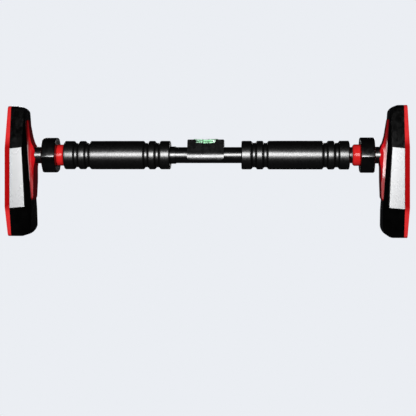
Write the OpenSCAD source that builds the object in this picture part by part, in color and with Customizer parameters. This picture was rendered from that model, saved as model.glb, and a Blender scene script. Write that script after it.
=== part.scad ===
// Doorway pull-up bar: a telescoping steel tube with two foam grips, a bubble level at the
// middle, and at each end a hexagonal hand nut that jacks a swivelling wall pad outward.
// X runs along the bar (+X is the right-hand end), Y is depth (the front is -Y), Z is up.
// The origin is on the bar axis, under the middle of the bubble level.

/* [Overall] */
// Half of the overall length, bar axis origin to wall face
wall_x = 361; // [358:1:375]
// Smoothness of round parts
facets = 72; // [48:8:128]

/* [Tubes and grips] */
// Diameter of the inner tube
tube_d = 29; // [27:0.5:31]
// Wall thickness of the inner tube
tube_wall = 2; // [1.5:0.25:2.5]
// Wall thickness of the outer tube
sleeve_wall = 1.1; // [0.8:0.1:1.6]
// Outside diameter of the foam grips
grip_d = 52; // [44:1:56]
// Distance from the middle to the inner end of each grip
grip_in = 64.5; // [58:0.5:70]
// Length of each grip
grip_len = 193; // [180:1:195]
// Depth of the ring grooves in the grips
groove_deep = 3.8; // [2:0.2:5]

/* [Hand nuts] */
// Width of the hand nut across its flats
nut_af = 62; // [54:1:68]
// Length of the hand nut along the bar
nut_len = 25.2; // [24:0.2:26]
// Diameter of the red bearing ring
ring_d = 38.5; // [36:0.5:44]
// Length of the red bearing ring
ring_len = 13.2; // [12:0.2:14]

/* [Studs] */
// Diameter of the stud thread
stud_d = 22; // [20:0.5:23]
// Thread pitch
pitch = 5; // [4:0.5:6]
// Diameter of the smooth sleeve at the pad end of the stud
neck_d = 30; // [28:0.5:32]

/* [Wall pads] */
// Half width of a pad at its middle
pad_hw = 35; // [32:1:40]
// Half width of a pad at its top and bottom ends
pad_end_hw = 22; // [20:1:24]
// Height of the pad top above the bar axis
pad_top = 89; // [84:1:94]
// Depth of the pad bottom below the bar axis
pad_bot = 147; // [138:1:152]
// Thickness of the rubber facing
rubber_t = 8.6; // [7:0.2:10]

/* [Level] */
// Half length of the level body
level_hl = 33; // [30:1:36]
// Height of the level body top above the bar axis
level_top = 28.3; // [27:0.1:30]
// Diameter of the vial
vial_d = 10; // [8.5:0.5:10]

/* [Hidden] */
$fn = facets;
eps = 0.01;
run = 0.05;                          // running clearance on a radius
gap = 0.1;                           // end gap between faces that turn on each other
grip_out = grip_in + grip_len;
end_r = grip_out + 5.5;              // right tube end, seen past the grip
end_l = grip_out + 0.3;              // left tube end, flush with the grip
sleeve_id = tube_d + 0.2;
sleeve_d = sleeve_id + 2 * sleeve_wall;
mouth_x = grip_in - 10;              // open end of the outer tube
tube_id = tube_d - 2 * tube_wall;
inner_x = -165;                      // inner tube end inside the outer tube
stud_in = 200;                       // inner end of the stud
neck_in = 294.4;                     // inner end of the stud sleeve
flange_x = 334.1;                    // stud flange inside the pad
nut_bore = stud_d / 2 + run;
nut_turn = 5;                        // rest angle of the hand nuts, front corner just below level
recess = 12.6;                       // depth of the nut's outer counterbore, room for the neck
shell = 3;                           // housing wall
back_x = wall_x - rubber_t;          // plane between housing and rubber
face_x = 321.1;                      // inner face of the housing at the bar axis
facet_x = 328.4;                     // inner edge of the side facets at the bar axis
slope = 0.0722;                      // housing face lean, thicker toward the bottom
lean = atan(slope);
upright_z = -88;                     // the housing face runs upright below this height
taper = 2.6;                         // the rubber thins by this much at its top and bottom ends
vial_z = level_top - 4;
saddle_r = 19.6;                     // outside of the level body around the tube
saddle_z = -2.7;                     // height of that round's centre

// ---------- helpers ----------

// Cylinder along X from x0 to x1
module rod(x0, x1, r) { translate([x0, 0, 0]) rotate([0, 90, 0]) cylinder(r = r, h = x1 - x0); }
// Ring along X from x0 to x1
module ring(x0, x1, ro, ri) {
    difference() { rod(x0, x1, ro); rod(x0 - 1, x1 + 1, ri); }
}
// Turned part: profile points are [distance along X, radius]
module turned(pts) { rotate([0, 90, 0]) rotate_extrude() polygon([for (p = pts) [p[1], p[0]]]); }
// Extrude a YZ outline along X
module along_x(x0, x1) { translate([x0, 0, 0]) rotate([90, 0, 90]) linear_extrude(x1 - x0) children(); }
// Extrude an XZ outline along Y
module along_y(y0, y1) { translate([0, y1, 0]) rotate([90, 0, 0]) linear_extrude(y1 - y0) children(); }

// Convex polygon with rounded corners
function unit(v) = v / norm(v);
module rounded(pts, rs) {
    n = len(pts);
    info = [for (i = [0 : n - 1]) let (
            a = unit(pts[(i + n - 1) % n] - pts[i]), b = unit(pts[(i + 1) % n] - pts[i]),
            half = acos(a * b) / 2, r = rs[i])
        [pts[i] + a * r / tan(half), pts[i] + b * r / tan(half), pts[i] + unit(a + b) * r / sin(half), r]];
    polygon([for (k = info) each (k[3] > 0 ? [k[0], k[1]] : [k[0]])]);
    for (k = info) if (k[3] > 0) translate(k[2]) circle(r = k[3]);
}
module left_side() { mirror([1, 0, 0]) children(); }

// ---------- tubes, grips and telescoping lock ----------

module inner_tube() color("#1a1a1c") ring(inner_x, end_r - 2, tube_d / 2, tube_id / 2);
module outer_tube() color("#1a1a1c") ring(-end_l + 2, -mouth_x, sleeve_d / 2, sleeve_id / 2);

// Flanged bush pressed into a tube end; the stud slides through it
module end_bush(x_end, tube_bore, flange_d) difference() {
    union() { rod(x_end - 22, x_end - 2, tube_bore / 2); rod(x_end - 2, x_end, flange_d / 2); }
    rod(x_end - 23, x_end + 1, nut_bore);
}
module right_end_bush() color("#2c2c2e") end_bush(end_r, tube_id, tube_d);
module left_end_bush() color("#2c2c2e") left_side() end_bush(end_l, sleeve_id, sleeve_d);

// Foam sleeve with two ring grooves near each end
module grip(bore) {
    r = grip_d / 2;
    function groove(c) = [[c - 5.4, r], [c - 2.3, r - groove_deep], [c + 2.3, r - groove_deep], [c + 5.4, r]];
    turned(concat([[grip_in, bore], [grip_in, r - 2.4], [grip_in + 0.8, r - 0.8], [grip_in + 2.6, r]],
        groove(grip_in + 22.7), groove(grip_in + 43.1), groove(grip_out - 43.1), groove(grip_out - 22.7),
        [[grip_out - 2.6, r], [grip_out - 0.8, r - 0.8], [grip_out, r - 2.4], [grip_out, bore]]));
}
module right_grip() color("#202022") grip(tube_d / 2);
module left_grip() color("#202022") left_side() grip(sleeve_d / 2);

// Twist lock inside the outer tube: threaded core with a cone, and the split sleeve it spreads
module lock_core() color("#9a9a9c") turned([[-186, 0], [-186, 9], [-183, 9], [-169, 6],
    [-165, 6], [-165, tube_id / 2], [-149, tube_id / 2], [-149, 0]]);
module lock_sleeve() color("#d8d8d2") difference() {
    turned([[-183, 9], [-183, tube_d / 2 + run], [-169, tube_d / 2 + run], [-169, 6]]);
    translate([-176, 0, 15]) cube([20, 1.6, 30], center = true);
}

// ---------- bubble level ----------

// Saddle clipped over the tube, with a sloped window cut into its top for the vial
module level_body() color("#151516") difference() {
    intersection() {
        union() {
            translate([0, 0, saddle_z]) rod(-level_hl, level_hl, saddle_r);
            along_x(-level_hl, level_hl) rounded([[-7.6, level_top], [-17.89, 5.31],
                [17.89, 5.31], [7.6, level_top]], [3, 0, 0, 3]);
        }
        along_y(-20, 20) rounded([[-level_hl, level_top], [-level_hl, -9.6], [level_hl, -9.6],
            [level_hl, level_top]], [2, 7, 7, 2]);
    }
    rod(-level_hl - 1, level_hl + 1, tube_d / 2 + eps);
    translate([0, 0, -15]) cube([3 * level_hl, tube_d - 3, 30], center = true);
    translate([-22, 0, vial_z]) rotate([0, 90, 0]) cylinder(d = vial_d, h = 44);
    along_y(-30, 30) polygon([[-15.9, level_top - 6.8], [15.9, level_top - 6.8],
        [21.9, level_top + 6.8], [-21.9, level_top + 6.8]]);
}
module level_vial() color("#b8e8c0") translate([-19, 0, vial_z]) rotate([0, 90, 0])
    difference() { cylinder(d = vial_d, h = 38); translate([0, 0, -1]) cylinder(d = vial_d - 2.4, h = 40); }
// Green spirit, with the bubble left as a void at the top
module level_fluid() color("#9be04a") difference() {
    translate([-19, 0, vial_z]) rotate([0, 90, 0]) cylinder(d = vial_d - 2.4, h = 38);
    translate([-4, 0, vial_z + 2.2]) rotate([0, 90, 0]) cylinder(d = 4.6, h = 8);
    for (x = [-4, 4]) translate([x, 0, vial_z + 2.2]) sphere(d = 4.6);
}
module level_plugs() color("#6a9172") for (x = [-22, 19])
    translate([x, 0, vial_z]) rotate([0, 90, 0]) cylinder(d = vial_d, h = 3);

// ---------- hand nut (drawn for the right-hand end; x0 is the tube end) ----------

module knob(x0) {
    a = x0 + ring_len + gap;
    b = a + nut_len;
    r = nut_af / 2;
    hex = [for (i = [0 : 5]) [r / cos(30) * cos(60 * i), r / cos(30) * sin(60 * i)]];
    rotate([nut_turn, 0, 0]) difference() {
        intersection() {
            along_x(a, b) rounded(hex, [5, 5, 5, 5, 5, 5]);
            turned([[a, 0], [a, r + 1.5], [a + 3, r + 5], [b - 3, r + 5], [b, r + 1.5], [b, 0]]);
        }
        rod(a - 1, b + 1, 14);
        rod(b - recess, b + 1, neck_d / 2 + 0.6);
    }
}
module knob_ring(x0) turned([[x0 + gap, 14], [x0 + gap, ring_d / 2 - 2.7], [x0 + gap + 2.7, ring_d / 2],
    [x0 + gap + ring_len, ring_d / 2], [x0 + gap + ring_len, 14]]);
// Steel thread insert, bearing on the tube end
module knob_nut(x0) ring(x0 + gap, x0 + gap + ring_len + nut_len - recess, 14, nut_bore);

module right_knob() color("#141415") knob(end_r);
module left_knob() color("#141415") left_side() knob(end_l);
module right_knob_ring() color("#d42a24") knob_ring(end_r);
module left_knob_ring() color("#d42a24") left_side() knob_ring(end_l);
module right_knob_nut() color("#b4b4b4") knob_nut(end_r);
module left_knob_nut() color("#b4b4b4") left_side() knob_nut(end_l);

// ---------- stud (right-hand end) ----------

// Ring-grooved thread, plain shank, thrust flange and swivel pin
module stud() {
    r = stud_d / 2;
    turns = floor((neck_in - stud_in - 6) / pitch);
    turned(concat([[stud_in, 0], [stud_in, r - 3], [stud_in + 1.5, r]],
        [for (i = [0 : turns - 1], p = [[2, 0], [3, 1.6], [4, 1.6], [5, 0]])
            [stud_in + 1 + i * pitch + p[0] * pitch / 5, r - p[1]]],
        [[neck_in + 1, r], [neck_in + 1, 10], [flange_x, 10], [flange_x, 20], [flange_x + 4, 20],
        [flange_x + 4, 7], [flange_x + 12, 7], [flange_x + 12, 0]]));
}
module neck() turned([[neck_in, stud_d / 2], [neck_in, neck_d / 2 - 1], [neck_in + 1, neck_d / 2],
    [flange_x, neck_d / 2], [flange_x, 10], [neck_in + 1, 10], [neck_in + 1, stud_d / 2]]);

module right_stud() color("#a8a8aa") stud();
module left_stud() color("#a8a8aa") left_side() stud();
module right_neck() color("#161617") neck();
module left_neck() color("#161617") left_side() neck();

// ---------- wall pad (right-hand end) ----------

// YZ outline of the pad, moved in by d on every side
module outline(d) rounded([[-pad_hw + d, -93], [-pad_hw + d, 13], [-pad_end_hw + d, pad_top - d],
    [pad_end_hw - d, pad_top - d], [pad_hw - d, 13], [pad_hw - d, -93],
    [pad_end_hw - d, -pad_bot + d], [-pad_end_hw + d, -pad_bot + d]],
    [0, 0, 8 - d, 8 - d, 0, 0, 8 - d, 8 - d]);
// XZ profile: the inner face leans so the pad is thicker at the bottom
module profile(d, x_out) rounded([[x_out, pad_top - d], [face_x + d + slope * pad_top, pad_top - d],
    [face_x + d + slope * upright_z, upright_z], [face_x + d + slope * upright_z, -pad_bot + d],
    [x_out, -pad_bot + d]], [0, 18 - d, 0, 21 - d, 0]);
// XY section swept along the lean: flat inner face with a chamfer to each side facet
module section(d) rotate([0, lean, 0]) translate([0, 0, -200]) linear_extrude(400)
    polygon([[face_x + d, -22 + d / 2], [face_x + d, 22 - d / 2], [facet_x + d + 5.62, 45 - d / 2],
        [380, 45], [380, -45], [facet_x + d + 5.62, -45 + d / 2]]);
module pad_solid(d, x_out) intersection() {
    along_x(300, x_out) outline(d);
    along_y(-50, 50) profile(d, x_out + 1);
    section(d);
}
posts = [[0, 62], [0, -60], [-11, -118], [11, -118]];

module housing() difference() {
    union() {
        difference() { pad_solid(0, back_x); pad_solid(shell, back_x + 1); }
        intersection() {
            pad_solid(eps, back_x);
            union() {
                rod(310, 332, 21);
                for (p = posts) translate([0, p[0], p[1]]) rod(310, back_x - 4, 4.5);
            }
        }
    }
    rod(300, 340, 17);
    for (p = posts) translate([0, p[0], p[1]]) rod(back_x - 16, back_x, 2);
    for (s = [-1, 1]) plate_block(s);
}
// Plate on a side facet, set 0.8 mm into the housing and standing 0.4 mm proud
module plate_block(s) along_y(s > 0 ? pad_hw - 0.8 : -pad_hw - 0.4, s > 0 ? pad_hw + 0.4 : -pad_hw + 0.8)
    polygon([[back_x - 0.4, 12], [facet_x + 2.2, 14.2], [facet_x - 3.3, -92.8], [back_x - 0.4, -95]]);
// Flanged bush the neck turns in
module hub_bush() difference() {
    union() { rod(324, 332, 17); rod(332, flange_x - gap, 20); }
    rod(320, 340, neck_d / 2 + run);
}
module washer() ring(flange_x + 4 + gap, flange_x + 6, 19, 7 + run);
// Steel back plate with the thrust boss
module base() difference() {
    union() {
        intersection() { along_x(back_x - 4, back_x) outline(shell); pad_solid(shell, back_x); }
        rod(flange_x + 6, back_x - 2, 20);
    }
    rod(flange_x, flange_x + 13, 7 + run);
    for (p = posts) translate([0, p[0], p[1]]) screw();
}
module screw() turned([[back_x - 15, 0], [back_x - 15, 2], [back_x - 2.2, 2], [back_x, 4], [back_x, 0]]);
module screws() for (p = posts) translate([0, p[0], p[1]]) screw();
// Rubber facing, flat at its middle and thinner toward its ends, with blind tread slots
module rubber() difference() {
    intersection() {
        union() { along_x(back_x, wall_x) outline(0); rod(back_x, wall_x, 20); }
        along_y(-50, 50) polygon([[back_x - 1, pad_top], [wall_x - taper, pad_top], [wall_x, 13],
            [wall_x, -93], [wall_x - taper, -pad_bot], [back_x - 1, -pad_bot]]);
    }
    for (i = [0 : 15]) translate([wall_x - 1, 0, -129 + i * 13.4])
        cube([3, i < 2 || i > 12 ? 28 : 50, 3], center = true);
}
// Shield on the inner face: a ridge that peaks round the neck and tapers up and down
module cover() difference() {
    intersection() {
        along_y(-30, 30) polygon([[340, 64], [324.4, 64], [322.9, 54], [320, 34], [316.7, 21.6],
            [313.9, 17], [311.2, 9], [310, 2], [310, -6], [311, -14], [312.3, -22], [312.5, -42],
            [313.4, -76], [316.3, -82], [340, -82]]);
        along_x(300, 340) rounded([[-8, 64], [-20, 4], [-20.2, -40], [-16, -82],
            [16, -82], [20.2, -40], [20, 4], [8, 64]], [4, 0, 0, 5, 5, 0, 0, 4]);
        rotate([0, lean, 0]) translate([0, 0, -200]) linear_extrude(400)
            polygon([[307, -13], [307, 13], [317.1, 20.6], [340, 20.6], [340, -20.6], [317.1, -20.6]]);
    }
    pad_solid(0, back_x);
    rod(300, 340, neck_d / 2 + 1);
}

module right_hub_bush() color("#c8c8c4") hub_bush();
module left_hub_bush() color("#c8c8c4") left_side() hub_bush();
module right_washer() color("#c0a060") washer();
module left_washer() color("#c0a060") left_side() washer();
module right_base() color("#8c8c8e") base();
module left_base() color("#8c8c8e") left_side() base();
module right_housing() color("#121213") housing();
module left_housing() color("#121213") left_side() housing();
module right_cover() color("#c4161c") cover();
module left_cover() color("#c4161c") left_side() cover();
module right_plate_front() color("#dcdcde") plate_block(-1);
module left_plate_front() color("#dcdcde") left_side() plate_block(-1);
module right_plate_back() color("#dcdcde") plate_block(1);
module left_plate_back() color("#dcdcde") left_side() plate_block(1);
module right_screws() color("#707072") screws();
module left_screws() color("#707072") left_side() screws();
module right_rubber() color("#b80a0c") rubber();
module left_rubber() color("#b80a0c") left_side() rubber();

inner_tube();
right_grip();
right_end_bush();
lock_core();
lock_sleeve();
level_body();
level_vial();
level_fluid();
level_plugs();
outer_tube();
left_grip();
left_end_bush();
right_knob();
right_knob_ring();
right_knob_nut();
right_stud();
right_neck();
right_hub_bush();
right_washer();
right_base();
right_housing();
right_cover();
right_plate_front();
right_plate_back();
right_screws();
right_rubber();
left_knob();
left_knob_ring();
left_knob_nut();
left_stud();
left_neck();
left_hub_bush();
left_washer();
left_base();
left_housing();
left_cover();
left_plate_front();
left_plate_back();
left_screws();
left_rubber();
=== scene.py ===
"""Looks of the doorway pull-up bar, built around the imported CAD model.

X runs along the bar, the front is -Y, Z is up, and the origin is on the bar axis.
"""

import math

import bmesh
import bpy
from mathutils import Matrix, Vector, noise


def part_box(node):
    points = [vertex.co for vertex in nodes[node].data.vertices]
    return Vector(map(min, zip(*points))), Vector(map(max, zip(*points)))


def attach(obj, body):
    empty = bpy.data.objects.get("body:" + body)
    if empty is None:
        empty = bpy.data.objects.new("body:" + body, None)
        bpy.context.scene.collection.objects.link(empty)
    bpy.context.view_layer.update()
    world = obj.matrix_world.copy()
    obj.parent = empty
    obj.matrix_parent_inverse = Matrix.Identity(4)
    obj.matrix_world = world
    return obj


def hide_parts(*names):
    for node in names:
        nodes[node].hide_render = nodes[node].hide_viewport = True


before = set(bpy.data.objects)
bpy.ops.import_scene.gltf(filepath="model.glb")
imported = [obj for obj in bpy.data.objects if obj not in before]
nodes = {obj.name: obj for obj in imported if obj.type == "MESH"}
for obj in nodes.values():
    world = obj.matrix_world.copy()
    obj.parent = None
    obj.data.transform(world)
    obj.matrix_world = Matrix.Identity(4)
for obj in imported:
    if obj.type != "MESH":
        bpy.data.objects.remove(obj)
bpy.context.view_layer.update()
scene = bpy.context.scene

MM = 0.001

# each end's name, the way it points along X, and the body and tube that its grip sits on
ENDS = (("right", 1, "inner_bar", "inner_tube"), ("left", -1, "outer_bar", "outer_tube"))

# ---------- camera ----------

VIEW_AZIMUTH = 0.0645          # radians to the right of straight on
VIEW_DISTANCE = 1.828
FOCAL_WIDTHS = 2.4257          # focal length in image widths
ORIGIN_SHIFT = (0.0049, -0.1271)   # where the bar's middle falls, in image widths from the centre


def make_camera():
    data = bpy.data.cameras.new("camera")
    cam = bpy.data.objects.new("camera", data)
    scene.collection.objects.link(cam)
    cam.location = VIEW_DISTANCE * Vector((math.sin(VIEW_AZIMUTH), -math.cos(VIEW_AZIMUTH), 0))
    cam.rotation_euler = (math.radians(90), 0, VIEW_AZIMUTH)
    data.sensor_width = 36
    data.lens = data.sensor_width * FOCAL_WIDTHS
    data.shift_x, data.shift_y = ORIGIN_SHIFT
    data.clip_end = 50
    scene.camera = cam


# ---------- stage and lights ----------

PALE = (0.831, 0.855, 0.896, 1)
DIM_WORLD = (0.008, 0.008, 0.009, 1)
DIM_FLOOR = (0.06, 0.06, 0.065, 1)
FLOOR_HEIGHT = -2.2
FLOOR_RADIUS = 9.0
BACK_TURN = 26.6               # degrees each back light turns in to face the bar's middle


def pale_for_camera(tree, dim_shader):
    """Shader that is pale to the camera and through the vial, and dim_shader to other rays."""
    path = tree.nodes.new("ShaderNodeLightPath")
    mix = tree.nodes.new("ShaderNodeMixShader")
    pale = tree.nodes.new("ShaderNodeEmission")
    pale.inputs["Color"].default_value = PALE
    seen = tree.nodes.new("ShaderNodeMath")
    seen.operation = "MAXIMUM"
    tree.links.new(path.outputs["Is Camera Ray"], seen.inputs[0])
    tree.links.new(path.outputs["Is Transmission Ray"], seen.inputs[1])
    tree.links.new(seen.outputs[0], mix.inputs[0])
    tree.links.new(dim_shader, mix.inputs[1])
    tree.links.new(pale.outputs[0], mix.inputs[2])
    return mix.outputs[0]


def make_world():
    world = bpy.data.worlds.new("world")
    world.use_nodes = True
    scene.world = world
    tree = world.node_tree
    tree.nodes.clear()
    out = tree.nodes.new("ShaderNodeOutputWorld")
    dim = tree.nodes.new("ShaderNodeBackground")
    dim.inputs["Color"].default_value = DIM_WORLD
    tree.links.new(pale_for_camera(tree, dim.outputs[0]), out.inputs["Surface"])


def make_floor():
    mesh = bpy.data.meshes.new("floor")
    bm = bmesh.new()
    bmesh.ops.create_circle(bm, cap_ends=True, radius=FLOOR_RADIUS, segments=64)
    bm.to_mesh(mesh)
    bm.free()
    floor = bpy.data.objects.new("floor", mesh)
    scene.collection.objects.link(floor)
    floor.location.z = FLOOR_HEIGHT
    mat = bpy.data.materials.new("stage_floor")
    mat.use_nodes = True
    tree = mat.node_tree
    tree.nodes.clear()
    out = tree.nodes.new("ShaderNodeOutputMaterial")
    dim = tree.nodes.new("ShaderNodeBsdfDiffuse")
    dim.inputs["Color"].default_value = DIM_FLOOR
    tree.links.new(pale_for_camera(tree, dim.outputs[0]), out.inputs["Surface"])
    mesh.materials.append(mat)


def soft_light(name, place, size, tilt, radiance):
    """Soft box at place; tilt is its (pitch, heading) in degrees, (90, 0) facing +Y."""
    data = bpy.data.lights.new(name, "AREA")
    data.shape = "RECTANGLE"
    data.size, data.size_y = size
    data.energy = radiance * math.pi * size[0] * size[1]
    lamp = bpy.data.objects.new(name, data)
    scene.collection.objects.link(lamp)
    lamp.location = place
    lamp.rotation_euler = (math.radians(tilt[0]), 0, math.radians(tilt[1]))
    lamp.visible_camera = False


def make_lights():
    soft_light("front_key", (-0.11, -2.2, 0.24), (1.34, 0.98), (90, 0), 31)
    soft_light("front_low", (-0.14, -2.2, -0.45), (1.41, 0.40), (90, 0), 2.5)
    for side in (1, -1):
        heading = 180 - BACK_TURN * side
        soft_light(f"back_{side}", (1.2 * side, 2.4, 0.3), (0.6, 1.0), (85, heading), 5)


# ---------- materials ----------


class Shader:
    """One procedural material: a principled shader and the nodes that feed it."""

    def __init__(self, name, **fixed):
        self.mat = bpy.data.materials.new(name)
        self.mat.use_nodes = True
        self.tree = self.mat.node_tree
        self.bsdf = self.tree.nodes["Principled BSDF"]
        self.place = self.tree.nodes.new("ShaderNodeTexCoord").outputs["Object"]
        for socket, value in fixed.items():
            self.bsdf.inputs[socket.replace("_", " ")].default_value = value

    def node(self, kind, fac=None, **settings):
        """New node with its first input fed by fac; settings are its inputs or properties."""
        made = self.tree.nodes.new(kind)
        for key, value in settings.items():
            if key in made.inputs:
                made.inputs[key].default_value = value
            else:
                setattr(made, key, value)
        if fac is not None:
            self.tree.links.new(fac, made.inputs[0])
        return made

    def texture(self, kind, scale, stretch=(1, 1, 1), **settings):
        """Texture over the object's own metres; stretch makes it finer along an axis."""
        place = self.node("ShaderNodeMapping", self.place)
        place.inputs["Scale"].default_value = [scale * s for s in stretch]
        return self.node(kind, place.outputs[0], Scale=1.0, **settings)

    def noise(self, scale, detail=3.0, stretch=(1, 1, 1)):
        return self.texture("ShaderNodeTexNoise", scale, stretch, Detail=detail).outputs["Fac"]

    def cells(self, scale):
        return self.texture("ShaderNodeTexVoronoi", scale).outputs["Distance"]

    def along(self, axis, absolute=False):
        """The object's own coordinate along X, Y or Z, in metres."""
        out = self.node("ShaderNodeSeparateXYZ", self.place).outputs[axis]
        if absolute:
            out = self.node("ShaderNodeMath", out, operation="ABSOLUTE").outputs[0]
        return out

    def ramp(self, fac, *stops):
        """Colour ramp over fac; each stop is (value, colour), the colour a grey or an RGB."""
        low, high = stops[0][0], stops[-1][0]
        span = self.node("ShaderNodeMapRange", fac)
        span.inputs["From Min"].default_value = low
        span.inputs["From Max"].default_value = high
        made = self.node("ShaderNodeValToRGB", span.outputs[0])
        elements = made.color_ramp.elements
        while len(elements) < len(stops):
            elements.new(0.5)
        for element, (value, color) in zip(elements, stops):
            element.position = (value - low) / (high - low)
            rgb = (color,) * 3 if isinstance(color, (int, float)) else color
            element.color = (*rgb, 1)
        return made.outputs["Color"]

    def multiply(self, a, b):
        made = self.node("ShaderNodeMix", data_type="RGBA", blend_type="MULTIPLY")
        made.inputs["Factor"].default_value = 1.0
        self.tree.links.new(a, made.inputs["A"])
        self.tree.links.new(b, made.inputs["B"])
        return made.outputs["Result"]

    def color(self, output):
        self.tree.links.new(output, self.bsdf.inputs["Base Color"])
        return self

    def rough(self, output):
        self.tree.links.new(output, self.bsdf.inputs["Roughness"])
        return self

    def bump(self, height, strength, depth):
        """Bump of the given height map, stacked on the one before."""
        made = self.node("ShaderNodeBump", Strength=strength, Distance=depth)
        self.tree.links.new(height, made.inputs["Height"])
        before = self.bsdf.inputs["Normal"].links
        if before:
            self.tree.links.new(before[0].from_socket, made.inputs["Normal"])
        self.tree.links.new(made.outputs[0], self.bsdf.inputs["Normal"])
        return self


def mixed(low, high):
    """Ramp stops that turn a noise into patches of low and high with soft borders."""
    return (0.35, low), (0.65, high)


def tube_paint(name, level=0.5):
    """Sprayed satin-gloss black on steel."""
    s = Shader(name, Specular_IOR_Level=level)
    s.color(s.ramp(s.noise(60), *mixed(0.0004, 0.0009)))
    s.rough(s.ramp(s.noise(220, stretch=(0.3, 1, 1)), *mixed(0.22, 0.30)))
    return s.bump(s.noise(900), 0.05, 0.2 * MM).mat


def foam_skin():
    """Closed-cell black foam: satin skin with fine pores."""
    s = Shader("foam", Specular_IOR_Level=0.56)
    s.color(s.ramp(s.noise(160, 5), *mixed(0.0003, 0.0007)))
    s.rough(s.ramp(s.noise(420, 4), *mixed(0.27, 0.35)))
    s.bump(s.cells(1300), 0.10, 0.15 * MM)
    return s.bump(s.noise(2600), 0.12, 0.1 * MM).mat


def black_plastic(name, rough, level=0.5):
    """Moulded black plastic with a faint grain and handling marks."""
    s = Shader(name, Specular_IOR_Level=level)
    s.color(s.ramp(s.noise(45), *mixed(0.0004, 0.0008)))
    s.rough(s.ramp(s.noise(130, 4), *mixed(rough, rough + 0.07)))
    return s.bump(s.noise(1600), 0.04, 0.1 * MM).mat


def plain_plastic(name, color, rough):
    """Moulded plastic of one colour with a slightly uneven tone."""
    s = Shader(name)
    s.color(s.ramp(s.noise(90), *mixed([c * 0.85 for c in color], color)))
    s.rough(s.ramp(s.noise(300), *mixed(rough, rough + 0.1)))
    return s.bump(s.noise(1500), 0.05, 0.1 * MM).mat


def metal(name, color, rough, stretch=(1, 1, 1)):
    """Bare or plated metal with an uneven tone; stretch gives the finish a direction."""
    s = Shader(name, Metallic=1.0)
    s.color(s.ramp(s.noise(70, 4), *mixed([c * 0.8 for c in color], color)))
    s.rough(s.ramp(s.noise(400, 4, stretch), *mixed(rough, rough + 0.14)))
    return s.bump(s.noise(1200, 2, stretch), 0.06, 0.05 * MM).mat


def silver_film():
    """Smooth satin silver with a barely uneven tone."""
    s = Shader("plate_silver", Metallic=0.3)
    s.color(s.ramp(s.noise(25), *mixed((0.128, 0.130, 0.133), (0.132, 0.134, 0.137))))
    return s.rough(s.ramp(s.noise(40), *mixed(0.270, 0.275))).mat


def ring_red():
    """Red bearing ring, moulded with a low gloss."""
    s = Shader("ring_red", Specular_IOR_Level=0.12)
    s.color(s.ramp(s.noise(120), *mixed((0.29, 0.007, 0.007), (0.32, 0.009, 0.009))))
    s.rough(s.ramp(s.noise(300), *mixed(0.13, 0.17)))
    return s.bump(s.noise(1500), 0.04, 0.1 * MM).mat


def cover_red():
    """Gloss red shield, with painted shade that darkens its red toward where it meets the housing
    and below the hub.
    """
    s = Shader("cover_red", Specular_IOR_Level=0.5)
    body = s.ramp(s.noise(70), *mixed((0.25, 0.003, 0.004), (0.29, 0.004, 0.006)))
    # painted shade: the red darkens toward the housing and below the hub
    seam_shade = s.ramp(s.along("X", True), (0.3165, 1.0), (0.3225, 0.30))
    below = s.ramp(s.along("Z"), (-0.036, 0.55), (-0.008, 1.0))
    s.color(s.multiply(s.multiply(body, seam_shade), below))
    s.rough(s.ramp(s.noise(240), *mixed(0.06, 0.09)))
    return s.bump(s.noise(1500), 0.02, 0.1 * MM).mat


def rubber_red():
    """Dense red rubber, with painted shade darkening the middle and painted light making the top
    and bottom paler.
    """
    s = Shader("rubber_red", Specular_IOR_Level=0.01)
    # painted light: paler red at the top and bottom; painted shade: darker red over the middle
    pale, shaded_red = (0.32, 0.0125, 0.0130), (0.18, 0.0004, 0.0008)
    stops = ((-0.104, pale), (-0.090, shaded_red), (0.016, shaded_red), (0.032, pale))
    body = s.ramp(s.along("Z"), *stops)
    s.color(s.multiply(body, s.ramp(s.noise(200, 5), *mixed(0.86, 1.0))))
    s.rough(s.ramp(s.noise(500), *mixed(0.48, 0.60)))
    return s.bump(s.noise(1800), 0.15, 0.1 * MM).mat


def clear_vial():
    """Clear tube of the level, with a low IOR so that the spirit shows through it."""
    s = Shader("vial_clear", Transmission_Weight=1.0, IOR=1.12)
    s.color(s.ramp(s.noise(80), *mixed((0.90, 1.0, 0.93), (0.95, 1.0, 0.96))))
    return s.rough(s.ramp(s.noise(200), *mixed(0.02, 0.05))).mat


def vial_fluid():
    """Milky green spirit."""
    s = Shader("vial_fluid", Transmission_Weight=0.2, IOR=1.33)
    s.color(s.ramp(s.noise(60), *mixed((0.40, 0.78, 0.48), (0.44, 0.82, 0.52))))
    return s.rough(s.ramp(s.noise(120), *mixed(0.0, 0.03))).mat


# ---------- mesh helpers ----------


def piece(name, bm, body, material, replaces=(), smooth_below=40):
    """Finishes a new piece: material, smooth shading up to an angle, body and stand-in."""
    bmesh.ops.recalc_face_normals(bm, faces=bm.faces)
    mesh = bpy.data.meshes.new(name)
    bm.to_mesh(mesh)
    bm.free()
    mesh.polygons.foreach_set("use_smooth", [True] * len(mesh.polygons))
    mesh.set_sharp_from_angle(angle=math.radians(smooth_below))
    mesh.materials.append(material)
    obj = bpy.data.objects.new(name, mesh)
    scene.collection.objects.link(obj)
    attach(obj, body)
    if replaces:
        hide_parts(*replaces)
    return obj


def loft(rings, closed):
    """Mesh through rings of points of equal count; closed joins the last ring to the first."""
    bm = bmesh.new()
    made = [[bm.verts.new(p) for p in ring] for ring in rings]
    pairs = list(zip(made, made[1:])) + ([(made[-1], made[0])] if closed else [])
    for low, high in pairs:
        for i in range(len(low)):
            j = (i + 1) % len(low)
            bm.faces.new((low[i], low[j], high[j], high[i]))
    if not closed:
        bm.faces.new(made[0])
        bm.faces.new(made[-1])
    return bm


def turned(profile, segments=96, closed=True, radius=lambda x, r, angle: r):
    """Turned solid about X from (x, r) points; radius may vary r around the turn."""
    rings = []
    for x, r in profile:
        ring = []
        for k in range(segments):
            angle = 2 * math.pi * k / segments
            rr = radius(x, r, angle)
            ring.append((x, -rr * math.cos(angle), rr * math.sin(angle)))
        rings.append(ring)
    return loft(rings, closed)


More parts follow.
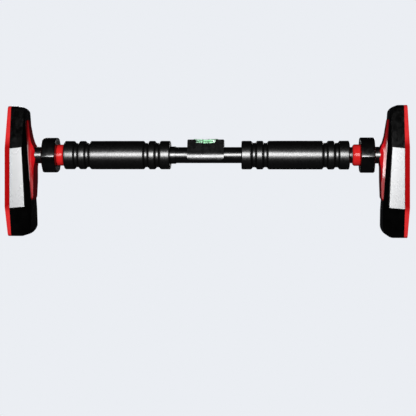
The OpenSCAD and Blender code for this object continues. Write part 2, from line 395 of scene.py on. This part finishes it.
def soften(points, cuts, steps=5):
    """The polyline with each inner corner replaced by a curve that starts cuts[i] before it."""
    points = [Vector(p) for p in points]
    out = [points[0]]
    for before, corner, after, cut in zip(points, points[1:], points[2:], cuts):
        a, b = before - corner, after - corner
        cut = min(cut, 0.48 * a.length, 0.48 * b.length)
        start, end = corner + a.normalized() * cut, corner + b.normalized() * cut
        for k in range(steps + 1):
            t = k / steps
            out.append(start * (1 - t) ** 2 + corner * 2 * t * (1 - t) + end * t**2)
    return out + [points[-1]]


def outward(node, side):
    """Nearest and farthest distance of a node from the middle, along its own side."""
    low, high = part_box(node)
    return (low.x, high.x) if side > 0 else (-high.x, -low.x)


def radius_of(node):
    """Outside radius of a round node on the bar axis."""
    low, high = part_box(node)
    return max(-low.z, high.z)


# ---------- foam grips ----------

GROOVES = (22.7 * MM, 43.1 * MM)      # groove centres from each end of a grip
GROOVE_DEEP = 3.8 * MM
GROOVE_TOP = 5.2 * MM                 # half width of a groove at the skin
GROOVE_FLOOR = 2.4 * MM               # half width of its floor
END_ROLL = (1.4 * MM, 1.2 * MM)       # how far a grip's end corner is cut back, along and inward
RING_STEP = 2.5 * MM                  # greatest distance between rings of the skin
SKIN_WANDER = 0.12 * MM


def make_grip(side_name, side, body, tube):
    """Foam sleeve with two ring grooves near each end and softly rolled ends."""
    node = f"{side_name}_grip"
    near, far = outward(node, side)
    r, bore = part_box(node)[1].z, radius_of(tube)
    roll_along, roll_in = END_ROLL
    points = [(near, bore), (near, r - roll_in), (near + roll_along, r)]
    for centre in [near + g for g in GROOVES] + [far - g for g in reversed(GROOVES)]:
        points += [(centre - GROOVE_TOP, r), (centre - GROOVE_FLOOR, r - GROOVE_DEEP)]
        points += [(centre + GROOVE_FLOOR, r - GROOVE_DEEP), (centre + GROOVE_TOP, r)]
    points += [(far - roll_along, r), (far, r - roll_in), (far, bore)]
    rounding = [0.5, 1.6, 2.2] + [1.3] * (len(points) - 6) + [1.6]   # millimetres at each corner
    softened = soften(points, [cut * MM for cut in rounding])
    profile = []
    for a, b in zip(softened, softened[1:]):
        steps = max(1, int((b - a).length / RING_STEP))
        profile += [a.lerp(b, k / steps) for k in range(steps)]
    profile.append(softened[-1])

    def foam_radius(x, r_here, angle):
        """The foam's surface wanders inward by up to a quarter of a millimetre."""
        if r_here < bore + 1 * MM:
            return r_here
        where = Vector((x * 45, math.cos(angle) * 1.6, math.sin(angle) * 1.6 + side))
        return r_here - SKIN_WANDER * (1 + noise.noise(where))

    bm = turned([(side * p.x, p.y) for p in profile], radius=foam_radius)
    grip = piece(f"{side_name}_grip_foam", bm, body, foam, [node], 50)


# ---------- hand nuts ----------

KNOB_FLAT = 31.6 * MM  # distance of the flats from the axis
KNOB_TURN = 5.0        # degrees the front corner rests below level
CROWN = 60 * MM        # radius of the slightly domed flats
CORNER = 7 * MM        # corner radius between the flats
KNOB_EDGE = 2.0 * MM   # rounding of the knob's end edges
KNOB_FACE = 22 * MM    # radius of a ring of points on each end face
NECK_ROOM = 0.6 * MM   # clearance of the counterbore around the neck
FLAT_STEPS = 4         # steps from the middle of a flat to its edge
CORNER_STEPS = 8


def knob_outline(inset):
    """Hexagon with domed flats and round corners, a corner to the front, moved in by inset."""

    def polar(angle):
        return Vector((math.cos(angle), math.sin(angle)))

    reach, run = CROWN - KNOB_FLAT, CROWN - CORNER
    half = math.radians(30) - math.asin(0.5 * reach / run)
    turn = math.radians(60) - 2 * half
    out = []
    for i in range(6):
        normal = math.radians(30 + 60 * i - KNOB_TURN)
        middle = polar(normal) * -reach
        for k in range(-FLAT_STEPS, FLAT_STEPS + 1):
            out.append(middle + polar(normal + half * k / FLAT_STEPS) * (CROWN - inset))
        centre = middle + polar(normal + half) * run
        for k in range(1, CORNER_STEPS):
            out.append(centre + polar(normal + half + turn * k / CORNER_STEPS) * (CORNER - inset))
    return out


def make_knob(side_name, side):
    """Hexagonal hand nut with rounded end edges and a counterbore for the neck."""
    node = f"{side_name}_knob"
    near, far = outward(node, side)
    bore = radius_of(f"{side_name}_knob_nut")
    counter = radius_of(f"{side_name}_neck") + NECK_ROOM
    seat = outward(f"{side_name}_knob_nut", side)[1]

    def ring(x, radius=None, inset=0.0):
        shape = knob_outline(inset)
        if radius:
            shape = [p.normalized() * radius for p in shape]
        return [(side * x, -p.x, p.y) for p in shape]

    def edge_ring(face, inward, angle):
        """Ring of the rounded edge of an end face, from the face (0) to the flats (90 degrees)."""
        x = face + inward * KNOB_EDGE * (1 - math.cos(angle))
        return ring(x, inset=KNOB_EDGE * (1 - math.sin(angle)))

    arc = [math.radians(15 * k) for k in range(7)]
    rings = [ring(near, bore), ring(near, KNOB_FACE)]
    rings += [edge_ring(near, 1, a) for a in arc]
    rings += [edge_ring(far, -1, a) for a in reversed(arc)]
    rings += [ring(far, KNOB_FACE), ring(far, counter + 1 * MM)]
    rings += [ring(far - 0.3 * MM, counter + 0.3 * MM), ring(far - 1 * MM, counter)]
    rings += [ring(seat, counter), ring(seat, bore)]
    piece(f"{side_name}_knob_shell", loft(rings, True), f"{side_name}_handnut", knob_black,
          [node], 35)


# ---------- studs ----------

THREAD_PITCH = 5 * MM
THREAD_DEEP = 1.6 * MM
THREAD_RADIUS = 11 * MM
THREAD_LEAD = 6 * MM      # the thread fades in and out over this length
THREAD_STEP = 0.5 * MM    # distance between rings along the thread
SHANK_RADIUS = 10 * MM
PIN_RADIUS = 7 * MM
FLANGE_THICK = 4 * MM
FLANGE_EDGE = 0.6 * MM
CORE = 0.5 * MM           # radius of the rings that close the stud's ends


def make_stud(side_name, side):
    """Steel stud with a true helical thread, plain shank, thrust flange and swivel pin."""
    node = f"{side_name}_stud"
    near, far = outward(node, side)
    neck_in, flange = outward(f"{side_name}_neck", side)
    flange_far, flange_r = flange + FLANGE_THICK, radius_of(node)
    thread_end = neck_in - 5 * MM
    length = thread_end - near
    count = int(length / THREAD_STEP)
    profile = [(near, CORE), (near, THREAD_RADIUS - 3 * MM)]
    profile += [(near + 1.5 * MM + length * k / count, THREAD_RADIUS) for k in range(count)]
    profile += [(neck_in + 1 * MM, THREAD_RADIUS), (neck_in + 1 * MM, SHANK_RADIUS)]
    profile += [(flange, SHANK_RADIUS), (flange, flange_r - FLANGE_EDGE)]
    profile += [(flange + FLANGE_EDGE, flange_r), (flange_far - FLANGE_EDGE, flange_r)]
    profile += [(flange_far, flange_r - FLANGE_EDGE), (flange_far, PIN_RADIUS)]
    profile += [(far - 1 * MM, PIN_RADIUS), (far, PIN_RADIUS - 1 * MM), (far, CORE)]

    def thread(x, r_here, angle):
        """Trapezoid thread between the stud's lead-in and its plain end."""
        if r_here < THREAD_RADIUS or abs(x) > thread_end:
            return r_here
        lead = min(1, (abs(x) - near) / THREAD_LEAD, (thread_end - abs(x)) / THREAD_LEAD)
        phase = (x / THREAD_PITCH - angle / (2 * math.pi)) % 1
        wave = min(1, max(0, 4 * abs(phase - 0.5) - 0.5))
        return r_here - THREAD_DEEP * wave * max(0, lead) - 1.5 * MM * max(0, 0.4 - lead)

    bm = turned([(side * x, r) for x, r in profile], 64, False, thread)
    piece(f"{side_name}_stud_screw", bm, f"{side_name}_spindle", zinc_steel, [node], 35)


# ---------- bubble level ----------

MARK_X = 5.4 * MM         # distance of each printed ring from the middle
MARK_HALF = 0.35 * MM     # half its width
MARK_LIFT = 0.06 * MM     # how far it stands out of and into the glass


def make_vial_marks():
    """Two printed rings on the vial, either side of the bubble's rest place."""
    low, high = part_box("level_vial")
    centre_z, r = (low.z + high.z) / 2, (high.z - low.z) / 2
    for name, x in (("level_mark_left", -MARK_X), ("level_mark_right", MARK_X)):
        left, right = x - MARK_HALF, x + MARK_HALF
        inner, outer = r - MARK_LIFT, r + MARK_LIFT
        bm = turned([(left, inner), (left, outer), (right, outer), (right, inner)], 48)
        bmesh.ops.translate(bm, vec=(0, 0, centre_z), verts=bm.verts)
        piece(name, bm, "inner_bar", mark_black)


# ---------- finish of the CAD nodes ----------


def round_edges(node, width, material):
    """Gives a CAD node its material, and rounds its sharp edges."""
    obj = nodes[node]
    obj.data.materials.clear()
    obj.data.materials.append(material)
    weld = obj.modifiers.new("weld", "WELD")
    weld.merge_threshold = 0.002 * MM
    flat = obj.modifiers.new("flat", "DECIMATE")
    flat.decimate_type = "DISSOLVE"
    flat.angle_limit = math.radians(0.4)
    if width:
        bevel = obj.modifiers.new("bevel", "BEVEL")
        bevel.width = width
        bevel.segments = 3
        bevel.limit_method = "ANGLE"
        bevel.angle_limit = math.radians(25)
        bevel.harden_normals = False
    smooth = obj.modifiers.new("normals", "WEIGHTED_NORMAL")
    smooth.keep_sharp = False
    smooth.weight = 80


# ---------- the scene ----------

make_camera()
make_world()
make_floor()
make_lights()

tube_black = tube_paint("tube_black")
neck_black = tube_paint("neck_black", 0.85)
foam = foam_skin()
bush_plastic = black_plastic("bush_plastic", 0.40)
zinc_steel = metal("zinc_steel", (0.62, 0.62, 0.64), 0.26, (0.2, 1, 1))
nylon = plain_plastic("nylon", (0.74, 0.74, 0.70), 0.35)
level_black = black_plastic("level_black", 0.24)
mark_black = black_plastic("mark_black", 0.5)
vial_clear = clear_vial()
fluid = vial_fluid()
vial_plug = plain_plastic("vial_plug", (0.10, 0.24, 0.14), 0.4)
knob_black = black_plastic("knob_black", 0.17)
ring_color = ring_red()
washer_brass = metal("washer_brass", (0.78, 0.58, 0.30), 0.3)
housing_black = black_plastic("housing_black", 0.07, level=0.18)
cover_color = cover_red()
plate_silver = silver_film()
rubber_color = rubber_red()

# node, rounding of its edges in millimetres, material
MIDDLE_FINISH = (
    ("inner_tube", 0.3, tube_black),
    ("outer_tube", 0.4, tube_black),
    ("lock_core", 0.3, zinc_steel),
    ("lock_sleeve", 0.2, nylon),
    ("level_body", 0.7, level_black),
    ("level_vial", 0, vial_clear),
    ("level_fluid", 0, fluid),
    ("level_plugs", 0.3, vial_plug),
)
# the same for the nodes that each end has
END_FINISH = (
    ("end_bush", 0.3, bush_plastic),
    ("knob_ring", 0.8, ring_color),
    ("knob_nut", 0.2, zinc_steel),
    ("neck", 0.4, neck_black),
    ("hub_bush", 0.3, nylon),
    ("washer", 0.2, washer_brass),
    ("base", 0.3, zinc_steel),
    ("housing", 1.2, housing_black),
    ("cover", 1.2, cover_color),
    ("plate_front", 0.25, plate_silver),
    ("plate_back", 0.25, plate_silver),
    ("screws", 0.15, zinc_steel),
    ("rubber", 0.8, rubber_color),
)

for part, edge, material in MIDDLE_FINISH:
    round_edges(part, edge * MM, material)
for side_name, side, body, tube in ENDS:
    make_grip(side_name, side, body, tube)
    make_knob(side_name, side)
    make_stud(side_name, side)
    for part, edge, material in END_FINISH:
        round_edges(f"{side_name}_{part}", edge * MM, material)
make_vial_marks()

scene.view_settings.view_transform = "Standard"
